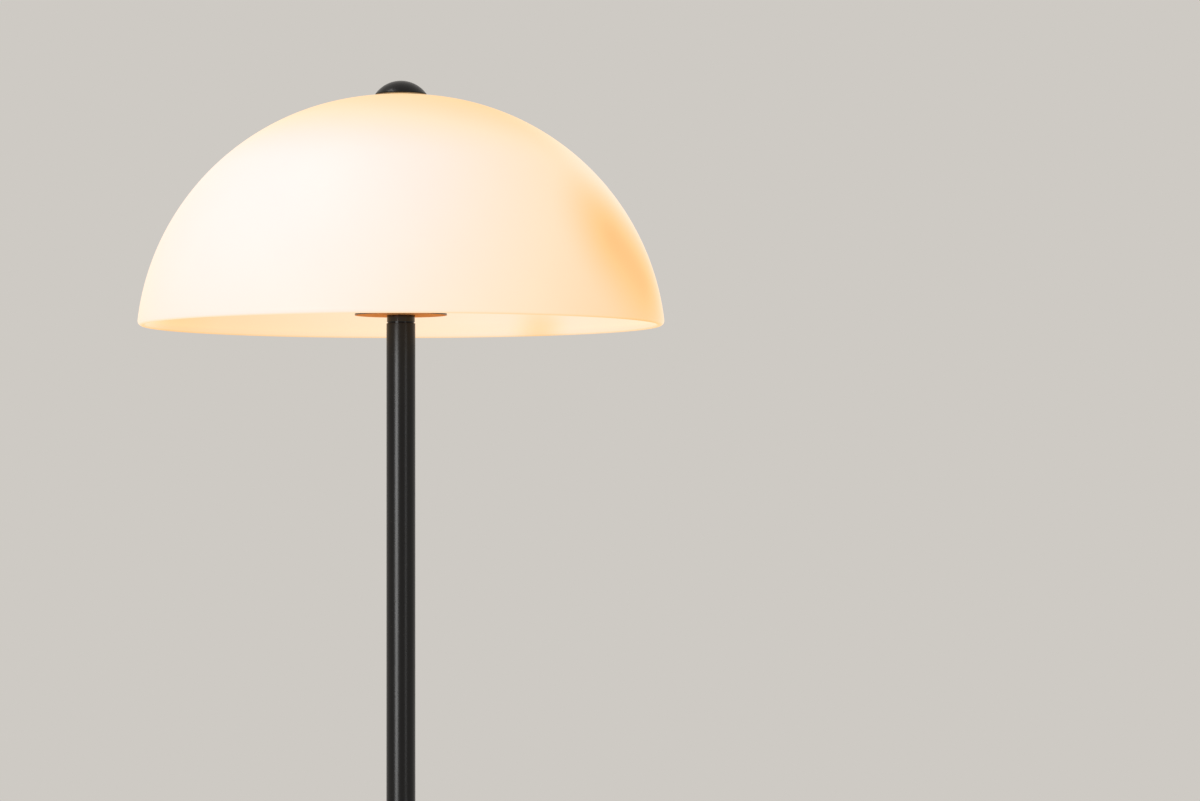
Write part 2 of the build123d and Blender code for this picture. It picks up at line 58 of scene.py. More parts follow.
def to_linear(red, green, blue):
    """A colour as an eye reads it on a screen, 0 to 255, turned into the light that makes it."""
    parts = []
    for value in (red, green, blue):
        share = value / 255
        low = share <= 0.04045
        parts.append(share / 12.92 if low else ((share + 0.055) / 1.055) ** 2.4)
    return (*parts, 1.0)


def extent(node):
    """A node's outer radius about the Z axis, its lowest level and its highest level."""
    low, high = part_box(node)
    return (high[0] - low[0]) / 2, low[2], high[2]


# %% [markdown]
# ## Node groups
# Three effects come back in many finishes: the faint unevenness of a sprayed coat, the fine rings
# that turning leaves, and the grain of a casting or a moulding. Each could be wired again in every
# material. Building each once as a group, with named inputs, keeps the finishes alike and short.

# %% A small helper for wiring nodes
class Wiring:
    """Adds nodes to one tree and joins them by the names of their sockets."""

    def __init__(self, tree):
        self.tree = tree

    def add(self, kind, **settings):
        """A new node, with plain attributes set on it."""
        node = self.tree.nodes.new(kind)
        for name, value in settings.items():
            setattr(node, name, value)
        return node

    def join(self, source, target):
        """One link, from an output socket to an input socket."""
        self.tree.links.new(source, target)

    def feed(self, slot, value):
        """Fills an input socket with a link from another socket, or with a plain value."""
        if hasattr(value, "links"):
            self.join(value, slot)
        elif value is not None:
            slot.default_value = value

    def math(self, operation, first, second=None, third=None):
        """A sum on up to three values or sockets."""
        node = self.add("ShaderNodeMath", operation=operation)
        for slot, value in zip(node.inputs, (first, second, third)):
            self.feed(slot, value)
        return node.outputs[0]

    def vector(self, operation, first, second):
        """A sum on two vectors or sockets. It gives the node, which has more than one output."""
        node = self.add("ShaderNodeVectorMath", operation=operation)
        for slot, value in zip(node.inputs, (first, second)):
            self.feed(slot, value)
        return node

    def noise(self, place, scale, detail=3.0, roughness=0.5):
        """Smooth noise at a place in space. The scale is about how many bumps a metre holds."""
        node = self.add("ShaderNodeTexNoise")
        self.feed(node.inputs["Vector"], place)
        self.feed(node.inputs["Scale"], scale)
        self.feed(node.inputs["Detail"], detail)
        self.feed(node.inputs["Roughness"], roughness)
        return node.outputs["Fac"]

    def spread(self, value, low, high, smooth=False):
        """A value from 0 to 1 spread between two new ends, each a number or a socket."""
        curve = "SMOOTHSTEP" if smooth else "LINEAR"
        node = self.add("ShaderNodeMapRange", interpolation_type=curve, clamp=True)
        self.feed(node.inputs["Value"], value)
        self.feed(node.inputs["To Min"], low)
        self.feed(node.inputs["To Max"], high)
        return node.outputs["Result"]

    def blend(self, amount, first, second):
        """A mix of two colours or colour sockets, which this node keeps in slots 6 and 7."""
        node = self.add("ShaderNodeMix", data_type="RGBA")
        self.feed(node.inputs[0], amount)
        self.feed(node.inputs[6], first)
        self.feed(node.inputs[7], second)
        return node.outputs[2]


# %% An empty group with named sockets
FINISH_OUTPUTS = {
    "Color": "NodeSocketColor",
    "Roughness": "NodeSocketFloat",
    "Height": "NodeSocketFloat",
}
groups = {}


def new_group(name, inputs, outputs):
    """An empty node group, and the wiring, entry and exit to fill it with."""
    group = bpy.data.node_groups.new(name, "ShaderNodeTree")
    for label, default in inputs.items():
        kind = "NodeSocketColor" if isinstance(default, tuple) else "NodeSocketFloat"
        socket = group.interface.new_socket(label, in_out="INPUT", socket_type=kind)
        socket.default_value = default
    for label, kind in outputs.items():
        group.interface.new_socket(label, in_out="OUTPUT", socket_type=kind)
    wiring = Wiring(group)
    print("group", name, "with inputs", ", ".join(inputs))
    return group, wiring, wiring.add("NodeGroupInput"), wiring.add("NodeGroupOutput")


# %% Sprayed coat: slow drifts of gloss and tone, a fine ripple and specks of dust
DRIFT_SCALE = 14.0
DUST_SCALE = 640.0
DUST_LEVEL = 0.74
DUST_SHARPNESS = 4.0
DUST_LIMIT = 0.12
DUST_TONE = to_linear(120, 114, 106)


def make_sprayed_coat():
    """A coat with drifting gloss. The ripple is its relief. Dust makes it paler and duller."""
    group, w, entry, leave = new_group(
        "sprayed_coat",
        {
            "Tone": (0.02, 0.02, 0.02, 1),
            "Worn Tone": (0.04, 0.04, 0.04, 1),
            "Ripple Scale": 900.0,
            "Smoothest": 0.25,
            "Roughest": 0.35,
        },
        FINISH_OUTPUTS,
    )
    place = w.add("ShaderNodeTexCoord").outputs["Object"]
    drift = w.noise(place, DRIFT_SCALE, detail=4.0, roughness=0.6)
    ripple = w.noise(place, entry.outputs["Ripple Scale"], detail=2.0)
    dust = w.math("SUBTRACT", w.noise(place, DUST_SCALE, detail=1.0), DUST_LEVEL)
    specks = w.math("MAXIMUM", w.math("MULTIPLY", dust, DUST_SHARPNESS), 0.0)
    specks = w.math("MINIMUM", specks, DUST_LIMIT)
    tone = w.blend(drift, entry.outputs["Tone"], entry.outputs["Worn Tone"])
    w.join(w.blend(specks, tone, DUST_TONE), leave.inputs["Color"])
    rough = w.spread(drift, entry.outputs["Smoothest"], entry.outputs["Roughest"], smooth=True)
    w.join(w.math("ADD", rough, specks), leave.inputs["Roughness"])
    w.join(ripple, leave.inputs["Height"])
    return group


groups["sprayed_coat"] = make_sprayed_coat()


# %% Turned metal: fine rings along one axis, with slow stains
STAIN_SCALE = 60.0


def make_turned_metal():
    """Metal from a lathe. The rings are its relief, and the stains make it darker and duller."""
    group, w, entry, leave = new_group(
        "turned_metal",
        {
            "Tone": (0.6, 0.6, 0.6, 1),
            "Stain": (0.4, 0.4, 0.4, 1),
            "Rings per Metre": 1000.0,
            "Smoothest": 0.2,
            "Roughest": 0.4,
        },
        FINISH_OUTPUTS,
    )
    place = w.add("ShaderNodeTexCoord").outputs["Object"]
    split = w.add("ShaderNodeSeparateXYZ")
    w.join(place, split.inputs[0])
    rate = w.math("MULTIPLY", entry.outputs["Rings per Metre"], 2 * math.pi)
    turns = w.math("MULTIPLY", split.outputs["Z"], rate)
    rings = w.spread(w.math("SINE", turns), 0.0, 1.0)
    stains = w.noise(place, STAIN_SCALE, detail=5.0, roughness=0.65)
    w.join(w.blend(stains, entry.outputs["Tone"], entry.outputs["Stain"]), leave.inputs["Color"])
    rough = w.spread(stains, entry.outputs["Smoothest"], entry.outputs["Roughest"], smooth=True)
    w.join(rough, leave.inputs["Roughness"])
    w.join(rings, leave.inputs["Height"])
    return group


groups["turned_metal"] = make_turned_metal()


# %% Grain: the skin of a casting, a moulding or foam
PATCH_SCALE = 18.0
PIT_CONTRAST = 2.0


def make_grain():
    """A grained skin. The fine grain is its relief, and a slow noise makes it patchy."""
    group, w, entry, leave = new_group(
        "grain",
        {
            "Tone": (0.5, 0.5, 0.5, 1),
            "Pit Tone": (0.3, 0.3, 0.3, 1),
            "Grain Scale": 300.0,
            "Smoothest": 0.4,
            "Roughest": 0.7,
        },
        FINISH_OUTPUTS,
    )
    place = w.add("ShaderNodeTexCoord").outputs["Object"]
    fine = w.noise(place, entry.outputs["Grain Scale"], detail=5.0, roughness=0.6)
    pits = w.spread(w.math("MULTIPLY", fine, w.noise(place, PATCH_SCALE)), 0.0, PIT_CONTRAST)
    w.join(w.blend(pits, entry.outputs["Tone"], entry.outputs["Pit Tone"]), leave.inputs["Color"])
    rough = w.spread(fine, entry.outputs["Smoothest"], entry.outputs["Roughest"])
    w.join(rough, leave.inputs["Roughness"])
    w.join(fine, leave.inputs["Height"])
    return group


groups["grain"] = make_grain()


# %% [markdown]
# ## Finishes
# The lamp mixes lacquer, plated and bare metal, enamel, ceramic, rubber and moulded plastic. Each
# could be a picture painted for its piece. But every finish here is even over its whole piece, so
# one material does for all the pieces that share it. A group gives the colour, the roughness and a
# height, and the shader itself stays here, with the plain numbers set straight on its sockets.


# %% One function that dresses a shader in a group, and three short ways to call it
COAT_RELIEF = 0.1 * MM
TOOL_RELIEF = 0.1 * MM
GRAIN_RELIEF = 0.3 * MM


def make_finish(name, group, values, bump=0.0, bump_depth=MM, **sockets):
    """A material whose colour, roughness and fine relief come from a group."""
    material = bpy.data.materials.new(name)
    material.use_nodes = True
    tree = material.node_tree
    w = Wiring(tree)
    shader = tree.nodes["Principled BSDF"]
    effect = w.add("ShaderNodeGroup", node_tree=groups[group])
    for label, value in values.items():
        effect.inputs[label].default_value = value
    w.join(effect.outputs["Color"], shader.inputs["Base Color"])
    w.join(effect.outputs["Roughness"], shader.inputs["Roughness"])
    if bump:
        relief = w.add("ShaderNodeBump")
        relief.inputs["Strength"].default_value = bump
        relief.inputs["Distance"].default_value = bump_depth
        w.join(effect.outputs["Height"], relief.inputs["Height"])
        w.join(relief.outputs["Normal"], shader.inputs["Normal"])
    for label, value in sockets.items():
        shader.inputs[label.replace("_", " ")].default_value = value
    return material


def sprayed(name, tone, worn, smoothest, roughest, ripple=900.0, bump=0.03, **sockets):
    """A sprayed coat: two tones, then the ends of its roughness, its ripple and its relief."""
    values = {
        "Tone": tone,
        "Worn Tone": worn,
        "Ripple Scale": ripple,
        "Smoothest": smoothest,
        "Roughest": roughest,
    }
    return make_finish(name, "sprayed_coat", values, bump, COAT_RELIEF, **sockets)


def turned_metal(name, tone, stain, smoothest, roughest, rings=1000.0, bump=0.2, **sockets):
    """Bare or plated metal from a lathe, given in the same order, with rings for its relief."""
    values = {
        "Tone": tone,
        "Stain": stain,
        "Rings per Metre": rings,
        "Smoothest": smoothest,
        "Roughest": roughest,
    }
    return make_finish(name, "turned_metal", values, bump, TOOL_RELIEF, Metallic=1.0, **sockets)


def grained(name, tone, pit, smoothest, roughest, scale, bump, **sockets):
    """A casting, a moulding, rubber or ceramic, in the same order, with grain for its relief."""
    values = {
        "Tone": tone,
        "Pit Tone": pit,
        "Grain Scale": scale,
        "Smoothest": smoothest,
        "Roughest": roughest,
    }
    return make_finish(name, "grain", values, bump, GRAIN_RELIEF, **sockets)


# %% The finishes of this lamp
finishes = {
    "black_metal": sprayed(
        "satin_black_lacquer", to_linear(8, 7, 8), to_linear(13, 12, 12), 0.24, 0.3, IOR=1.36,
    ),
    "black_polished": sprayed(
        "black_gloss_lacquer", to_linear(9, 8, 8), to_linear(14, 12, 11), 0.1, 0.14, bump=0.01,
        IOR=1.4,
    ),
    # Painted reflection: a copper-orange tone that stands in for the glow of the glass reflected under the disc.
    "glow_reflection_underside": turned_metal(
        "painted_glow_reflection", to_linear(255, 186, 118), to_linear(252, 178, 108), 0.5, 0.56, bump=0.01,
        Specular_Tint=to_linear(255, 158, 88),
    ),
    "white_enamel": sprayed(
        "white_enamel", to_linear(226, 222, 212), to_linear(214, 208, 196), 0.3, 0.45, bump=0.06,
    ),
    "zinc_steel": turned_metal(
        "zinc_plate", to_linear(206, 208, 210), to_linear(172, 176, 184), 0.26, 0.46,
    ),
    "raw_iron": grained(
        "primed_iron", to_linear(74, 75, 78), to_linear(50, 49, 50), 0.6, 0.85,
        scale=260.0, bump=0.6,
    ),
    "brass_insert": turned_metal(
        "turned_brass", to_linear(214, 178, 104), to_linear(176, 136, 72), 0.2, 0.38,
    ),
    "felt_pad": grained(
        "foam_rubber", to_linear(42, 42, 43), to_linear(24, 24, 25), 0.8, 0.95,
        scale=700.0, bump=0.8,
    ),
    "clear_silicone": grained(
        "milky_silicone", to_linear(224, 222, 214), to_linear(206, 202, 190), 0.35, 0.5,
        scale=120.0, bump=0.05, Subsurface_Weight=0.3,
    ),
    "black_nylon": grained(
        "black_nylon", to_linear(36, 36, 38), to_linear(24, 24, 25), 0.45, 0.6,
        scale=900.0, bump=0.15,
    ),
    "clear_nylon": grained(
        "natural_nylon", to_linear(226, 223, 208), to_linear(208, 202, 184), 0.35, 0.5,
        scale=150.0, bump=0.05, Subsurface_Weight=0.2,
    ),
    "black_bakelite": grained(
        "black_thermoset", to_linear(34, 32, 31), to_linear(26, 24, 23), 0.16, 0.3,
        scale=90.0, bump=0.04, Coat_Weight=0.3, Coat_Roughness=0.1,
    ),
    "holder_ceramic": grained(
        "unglazed_ceramic", to_linear(236, 231, 218), to_linear(216, 208, 190), 0.55, 0.75,
        scale=500.0, bump=0.2,
    ),
    "white_plastic": grained(
        "white_moulding", to_linear(236, 234, 229), to_linear(222, 218, 210), 0.3, 0.45,
        scale=700.0, bump=0.06,
    ),
    "nickel_cap": turned_metal(
        "nickel_plate", to_linear(214, 208, 196), to_linear(186, 176, 158), 0.14, 0.3, bump=0.05,
    ),
    "black_insulator": grained(
        "black_glass", to_linear(22, 22, 24), to_linear(16, 16, 18), 0.06, 0.14,
        scale=60.0, bump=0.02,
    ),
}
print("finishes", len(finishes))


# %% [markdown]
# ## The glowing glass
# Opal glass hides its lamps but still shows where they are. It is brightest and palest next to a
# bulb. It turns to amber further off, round the crown, and where a lampholder shades it, and the
# underside of its rim is darker again. A real light behind a scattering wall would show that too,
# but it is slow and noisy to render, and an exported part would lose it. So the glow is a colour
# that the glass gives off, worked out at each place on the dome from its distance to the bulbs and
# to the shaded patches. The gloss on top is left to the shader.

# %% Where the bulbs are
joints = {joint["name"]: joint for joint in frame["joints"]}
bulb_numbers = (1, 2)


def bulb_line(number):
    """A bulb's middle, as its joint gives it, and its axis, pointing out of the holder."""
    joint = joints[f"bulb_{number}_turn"]
    return Vector(joint["pos_m"]), Vector(joint["axis"]).normalized()


shade_radius, rim_bottom, crown_level = extent("shade")


def on_glass(turn, radius, height):
    """A point near the glass: a turn from +X in degrees, a radius, and a height above the rim."""
    angle = math.radians(turn)
    return Vector((radius * math.cos(angle), radius * math.sin(angle), rim_bottom + height))


def bulb_turn(number):
    """Which way a bulb points, in degrees from +X."""
    axis = bulb_line(number)[1]
    return math.degrees(math.atan2(axis.y, axis.x))


for number in bulb_numbers:
    print("bulb", number, "points to", round(bulb_turn(number), 1), "degrees")


# %% How the light falls on the glass
# A place is a turn in degrees from where the bulb points, a radius, and a height above the rim.
HOT_PLACE = (20, 0.175, 0.095)
LIGHT_REACH = 0.28
LIGHT_MERGE = 0.06
SHADOW_START = (-66.0, 0.185, 0.061)
SHADOW_END = (-58.0, 0.196, 0.034)
SHADOW_REACH = 0.07
SHADOW_LEVEL = 0.58
# Painted shade: a patch low in the far wall where the glow is dimmed near the rim.
FAR_SHADE_PLACE = (20, 0.193, 0.004)
FAR_SHADE_REACH = 0.034
FAR_SHADE_LEVEL = 0.55
CROWN_START = 0.115
CROWN_SPAN = 0.064
CROWN_LEVEL = 0.6


def from_bulb(number, place):
    """A point near the glass, its turn measured from where a bulb points."""
    turn, radius, height = place
    return on_glass(bulb_turn(number) + turn, radius, height)


def line_gap(w, place, start, end):
    """How far a place is from a straight line between two points."""
    along = end - start
    offset = w.vector("SUBTRACT", place, start).outputs[0]
    share = w.vector("DOT_PRODUCT", offset, along / along.length_squared).outputs["Value"]
    step = w.add("ShaderNodeVectorMath", operation="SCALE")
    step.inputs[0].default_value = along
    w.join(w.spread(share, 0.0, 1.0), step.inputs["Scale"])
    return w.vector("DISTANCE", offset, step.outputs[0]).outputs["Value"]


def dimmed(w, light, away, reach, level):
    """The light, brought down to a level at a patch's middle and back to full at its reach."""
    share = w.spread(w.math("DIVIDE", away, reach), level, 1.0, smooth=True)
    return w.math("MULTIPLY", light, share)


def light_of_bulbs(w, place, height):
    """Both bulbs' light, dimmer in the holders' shadows, in a low patch at the back and on top."""
    lights = []
    for number in bulb_numbers:
        away = w.vector("DISTANCE", place, from_bulb(number, HOT_PLACE)).outputs["Value"]
        share = w.math("DIVIDE", away, LIGHT_REACH)
        lights.append(w.math("DIVIDE", 1.0, w.math("ADD", w.math("MULTIPLY", share, share), 1.0)))
    light = w.math("SMOOTH_MAX", *lights, LIGHT_MERGE)
    for number in bulb_numbers:
        start, end = from_bulb(number, SHADOW_START), from_bulb(number, SHADOW_END)
        light = dimmed(w, light, line_gap(w, place, start, end), SHADOW_REACH, SHADOW_LEVEL)
    # The glow is dimmed in the painted shade patch low in the far wall.
    away = w.vector("DISTANCE", place, from_bulb(1, FAR_SHADE_PLACE)).outputs["Value"]
    light = dimmed(w, light, away, FAR_SHADE_REACH, FAR_SHADE_LEVEL)
    crown = w.math("DIVIDE", w.math("SUBTRACT", height, CROWN_START), CROWN_SPAN)
    return w.math("MULTIPLY", light, w.spread(crown, 1.0, CROWN_LEVEL, smooth=True))


# %% The glow as a node group
# Each stop is the level of light at which the glass shows that colour.
STOPS = {"Deep": 0.22, "Amber": 0.37, "Cream": 0.635, "Pale": 0.84, "White": 1.0}
INSIDE_CONTRAST = 0.5
INSIDE_LIFT = 0.25
BEAD_HEIGHT = 4.0 * MM
BEAD_SHADE = 0.35
BEAD_SLOPE = 0.6
CLOUD_SCALE = 9.0
CLOUD_SHARE = 0.015


def make_dome_glow():
    """The glow's colour at each place, from how much of the bulbs' light falls there."""
    group, w, entry, leave = new_group(
        "dome_glow",
        {**{name: (1, 1, 1, 1) for name in STOPS}, "Inside": 0.0, "Underside": 0.0},
        {"Color": "NodeSocketColor"},
    )
    place = w.add("ShaderNodeTexCoord").outputs["Object"]
    split = w.add("ShaderNodeSeparateXYZ")
    w.join(place, split.inputs[0])
    height = w.math("SUBTRACT", split.outputs["Z"], rim_bottom)
    light = light_of_bulbs(w, place, height)
    # The inside of the wall is lit from everywhere in the dome, so it has less contrast.
    evened = w.math("ADD", w.math("MULTIPLY", light, INSIDE_CONTRAST), INSIDE_LIFT)
    inside = w.math("MULTIPLY", w.math("SUBTRACT", evened, light), entry.outputs["Inside"])
    light = w.math("ADD", light, inside)
    # The rounded rim turns its underside away from the bulbs.
    bead = w.spread(w.math("DIVIDE", height, BEAD_HEIGHT), BEAD_SHADE, 0.0)
    under = w.math("SUBTRACT", entry.outputs["Underside"], BEAD_SLOPE)
    under = w.spread(w.math("DIVIDE", under, 1 - BEAD_SLOPE), 0.0, 1.0)
    bead = w.math("MULTIPLY", bead, under)
    light = w.math("MULTIPLY", light, w.math("SUBTRACT", 1.0, bead))
    # Blown glass is never quite even, so faint clouds drift through the light.
    clouds = w.noise(place, CLOUD_SCALE, detail=2.0, roughness=0.4)
    clouds = w.spread(clouds, 1 - CLOUD_SHARE, 1 + CLOUD_SHARE)
    light = w.math("MULTIPLY", light, clouds)
    # The light picks its colour between two neighbours at a time, from the deepest to the palest.
    names = list(STOPS)
    colour = entry.outputs[names[0]]
    for before, name in zip(names, names[1:]):
        above = w.math("SUBTRACT", light, STOPS[before])
        share = w.math("DIVIDE", above, STOPS[name] - STOPS[before])
        colour = w.blend(w.spread(share, 0.0, 1.0), colour, entry.outputs[name])
    w.join(colour, leave.inputs["Color"])
    return group


groups["dome_glow"] = make_dome_glow()

# %% [markdown]
# The room lights the glass too. A glow written at its full strength would come out too bright by
# that share and lose its amber. The glass could be made darker until the two agree, but then every
# colour would shift. So the room's share, in linear red, green and blue, is taken off each colour
# before it goes to the shader.

# %% The glass
SEEN = {
    "Deep": to_linear(248, 190, 122),
    "Amber": to_linear(254, 217, 158),
    "Cream": to_linear(255, 237, 205),
    "Pale": to_linear(255, 243, 229),
    "White": to_linear(253, 249, 243),
}
ROOM_SHARE = (0.05, 0.138, 0.128)


def make_opal_glass():
    """Opal glass: a pale satin body, and the glow of the bulbs behind it."""
    material = make_finish(
        "opal_glass",
        "grain",
        {
            "Tone": to_linear(112, 110, 106),
            "Pit Tone": to_linear(104, 103, 100),
            "Grain Scale": 30.0,
            "Smoothest": 0.42,
            "Roughest": 0.5,
        },
        bump=0.02,
        IOR=1.5,
        Specular_IOR_Level=0.16,
        Emission_Strength=1.0,
    )
    w = Wiring(material.node_tree)
    glow = w.add("ShaderNodeGroup", node_tree=groups["dome_glow"])
    for name, colour in SEEN.items():
        given = [max(0.0, part - share) for part, share in zip(colour, ROOM_SHARE)]
        glow.inputs[name].default_value = (*given, 1.0)
    normal = w.add("ShaderNodeNewGeometry").outputs["Normal"]
    place = w.add("ShaderNodeTexCoord").outputs["Object"]
    outwards = w.vector("SUBTRACT", place, (0, 0, rim_bottom)).outputs[0]
    facing = w.vector("DOT_PRODUCT", outwards, normal).outputs["Value"]
    w.join(w.math("LESS_THAN", facing, 0.0), glow.inputs["Inside"])
    slope = w.add("ShaderNodeSeparateXYZ")
    w.join(normal, slope.inputs[0])
    w.join(w.math("MULTIPLY", slope.outputs["Z"], -1.0), glow.inputs["Underside"])
    shader = material.node_tree.nodes["Principled BSDF"]
    w.join(glow.outputs["Color"], shader.inputs["Emission Color"])
    return material


GLOBE_MOTTLE_SCALE = 40.0


def make_frosted_globe():
    """The bulb's globe, lit from inside, a little uneven."""
    material = make_finish(
        "frosted_globe",
        "grain",
        {
            "Tone": to_linear(192, 186, 176),
            "Pit Tone": to_linear(184, 177, 166),
            "Grain Scale": 1200.0,
            "Smoothest": 0.4,
            "Roughest": 0.5,
        },
        bump=0.05,
        Emission_Strength=0.8,
    )
    w = Wiring(material.node_tree)
    place = w.add("ShaderNodeTexCoord").outputs["Object"]
    mottle = w.noise(place, GLOBE_MOTTLE_SCALE, detail=2.0)
    colour = w.blend(mottle, to_linear(255, 240, 206), to_linear(255, 230, 184))
    shader = material.node_tree.nodes["Principled BSDF"]
    w.join(colour, shader.inputs["Emission Color"])
    return material


finishes["opal_glass"] = make_opal_glass()
finishes["frosted_globe"] = make_frosted_globe()
print("glowing finishes", [finishes[slot].name for slot in ("opal_glass", "frosted_globe")])


# %% [markdown]
# ## Turned pieces
# Nearly every visible piece of this lamp is round: blown, spun, drawn or turned. Such a piece could
# be a cylinder or a sphere with edits, or a screw modifier on a curve. Here one function turns a
# list of radius and height pairs into a closed mesh, so the outline is in plain sight and the mesh
# has no seam. A second function draws arcs, and a third gives sharp corners a tiny round. Its last
# step adds points beside the corners, because a long side would otherwise shade as if it were bent.


# %% Outlines and turning
CORNER_SHARE = 0.45
SUPPORT_SHARE = 0.5
LONG_SIDE = 8
ON_AXIS = 1e-6
MERGE_REACH = 1e-7
NO_LENGTH = 1e-8


def arc(centre, radius, start, end, steps):
    """Points along an arc in the plane of radius and height, angles in degrees from outwards."""
    points = []
    for i in range(steps + 1):
        angle = math.radians(start + (end - start) * i / steps)
        points.append((centre[0] + radius * math.cos(angle), centre[1] + radius * math.sin(angle)))
    return points


def eased(points, radius, steps=4):
    """A closed outline with each corner cut by a small round, where its sides leave room."""
    out = []
    count = len(points)
    for i, corner in enumerate(points):
        here = Vector(corner)
        before = Vector(points[i - 1]) - here
        after = Vector(points[(i + 1) % count]) - here
        reach = min(radius, before.length * CORNER_SHARE, after.length * CORNER_SHARE)
        first = here + before.normalized() * reach
        last = here + after.normalized() * reach
        for step in range(steps + 1):
            share = step / steps
            near = first.lerp(here, share)
            far = here.lerp(last, share)
            out.append(tuple(near.lerp(far, share)))
    return supported(out, radius * SUPPORT_SHARE)


def supported(points, reach):
    """The outline with a point near each end of its long sides, so that they shade as straight."""
    out = []
    for i, point in enumerate(points):
        here, after = Vector(point), Vector(points[(i + 1) % len(points)])
        out.append(point)
        if (after - here).length > LONG_SIDE * reach:
            step = (after - here).normalized() * reach
            out += [tuple(here + step), tuple(after - step)]
    return out


def turned(name, outline, segments, place=None):
    """A closed mesh turned from a closed outline of radius and height pairs."""
    mesh = bpy.data.meshes.new(name)
    shape = bmesh.new()
    rings = []
    for i in range(segments):
        angle = 2 * math.pi * i / segments
        spoke = (math.cos(angle), math.sin(angle))
        rings.append([shape.verts.new((r * spoke[0], r * spoke[1], z)) for r, z in outline])
    count = len(outline)
    for i, ring in enumerate(rings):
        following = rings[(i + 1) % segments]
        for j in range(count):
            k = (j + 1) % count
            shape.faces.new((ring[j], following[j], following[k], ring[k]))
    on_axis = [vert for vert in shape.verts if vert.co.x**2 + vert.co.y**2 < ON_AXIS**2]
    bmesh.ops.remove_doubles(shape, verts=on_axis, dist=MERGE_REACH)
    bmesh.ops.dissolve_degenerate(shape, dist=NO_LENGTH, edges=shape.edges)
    bmesh.ops.recalc_face_normals(shape, faces=shape.faces)
    if place is not None:
        bmesh.ops.transform(shape, matrix=place, verts=shape.verts)
    shape.to_mesh(mesh)
    shape.free()
    mesh.shade_smooth()
    piece = bpy.data.objects.new(name, mesh)
    bpy.context.collection.objects.link(piece)
    return piece


def dress(piece, slot, body, *nodes):
    """Gives a piece its finish, the body that it rides on and the solids that it stands for."""
    piece.data.materials.clear()
    piece.data.materials.append(finishes[slot])
    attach(piece, body)
    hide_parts(*nodes)
    faces = len(piece.data.polygons)
    print(f"{piece.name}: {faces} faces, {round(max(piece.dimensions) / MM, 1)} mm")


# %% [markdown]
# ## The shade
# The dome is blown into a mould and fire-polished at the rim, so its outline is two smooth arcs and
# the rim is a thick rounded bead. It could be half a sphere, scaled. But the real one is flatter
# over the crown than at the side, so the two arcs are drawn as the mould's maker would.

# %% The dome's two arcs
CROWN_RADIUS = 240.0 * MM
CROWN_SEAM_RADIUS = 39.0 * MM
GLASS_WALL = 4.2 * MM
BEAD_RADIUS = 3.5 * MM
SHADE_HOLE_RADIUS = 6.0 * MM
hole_angle = math.asin(SHADE_HOLE_RADIUS / CROWN_RADIUS)
seam_angle = math.asin(CROWN_SEAM_RADIUS / CROWN_RADIUS)
crown_centre = Vector((0, crown_level - CROWN_RADIUS * math.cos(hole_angle)))
bead_centre = Vector((shade_radius - BEAD_RADIUS, rim_bottom + BEAD_RADIUS))
seam_normal = Vector((math.sin(seam_angle), math.cos(seam_angle)))
seam_point = crown_centre + seam_normal * (CROWN_RADIUS - BEAD_RADIUS)
seam_to_bead = bead_centre - seam_point
twin_radius = -seam_to_bead.length_squared / (2 * seam_to_bead.dot(seam_normal))
side_centre = seam_point - seam_normal * twin_radius
side_radius = twin_radius + BEAD_RADIUS
rim_normal = (bead_centre - side_centre).normalized()
rim_angle = math.atan2(rim_normal.x, rim_normal.y)
print("side arc radius", round(side_radius / MM, 1), "mm")

# %% The dome's outline
CROWN_STEPS = 16
SIDE_STEPS = 54
BEAD_STEPS = 20
BEAD_TURN = 215
INSIDE_START = 1.6


def dome_outline():
    """The closed outline of the glass: outside, bead, inside and the edge of the hole."""
    hole = 90 - math.degrees(hole_angle)
    seam = 90 - math.degrees(seam_angle)
    rim = 90 - math.degrees(rim_angle)
    outside = arc(crown_centre, CROWN_RADIUS, hole, seam, CROWN_STEPS)
    outside += arc(side_centre, side_radius, seam, rim, SIDE_STEPS + 2)[1:]
    bead = arc(bead_centre, BEAD_RADIUS, rim, rim - BEAD_TURN, BEAD_STEPS)[1:]
    inside = arc(side_centre, side_radius - GLASS_WALL, rim + INSIDE_START, seam, SIDE_STEPS)
    inner_radius = CROWN_RADIUS - GLASS_WALL
    inner_hole = 90 - math.degrees(math.asin(SHADE_HOLE_RADIUS / inner_radius))
    inside += arc(crown_centre, inner_radius, seam, inner_hole, CROWN_STEPS)[1:]
    return outside + bead + inside


shade = turned("shade_glass", dome_outline(), segments=256)
dress(shade, "opal_glass", "shade", "shade")

# %% [markdown]
# ## Finial, neck and disc
# The finial is a low cap nut, turned and lacquered. The neck is one small turned ring: a narrow
# foot that reads as a dark line, then a glossy band. The disc above it is a thin black plate. Its
# underside gets a copper-orange tone, a painted reflection of the glowing glass above it, which
# shows from below as an orange sliver. Each could be a cylinder with a bevel on it. Drawn as
# outlines, they also take the finial's ball shape and the neck's step. The edges of the neck and
# the disc are eased, because a turned edge is never quite sharp, and the eased edge is what
# catches the light.

# %% The finial
finial_radius, finial_bottom, finial_top = extent("finial")
FINIAL_BALL_RADIUS = 24.0 * MM
FINIAL_FOOT_ROUND = ((0.25 * MM, 0.15 * MM), (0.8 * MM, 0.0))
FINIAL_FOOT_HEIGHT = 0.6 * MM
WASHER_RECESS_RADIUS = 13.3 * MM
WASHER_RECESS_DEPTH = 1.8 * MM
INSERT_RADIUS = 7.0 * MM
INSERT_DEPTH = 7.3 * MM


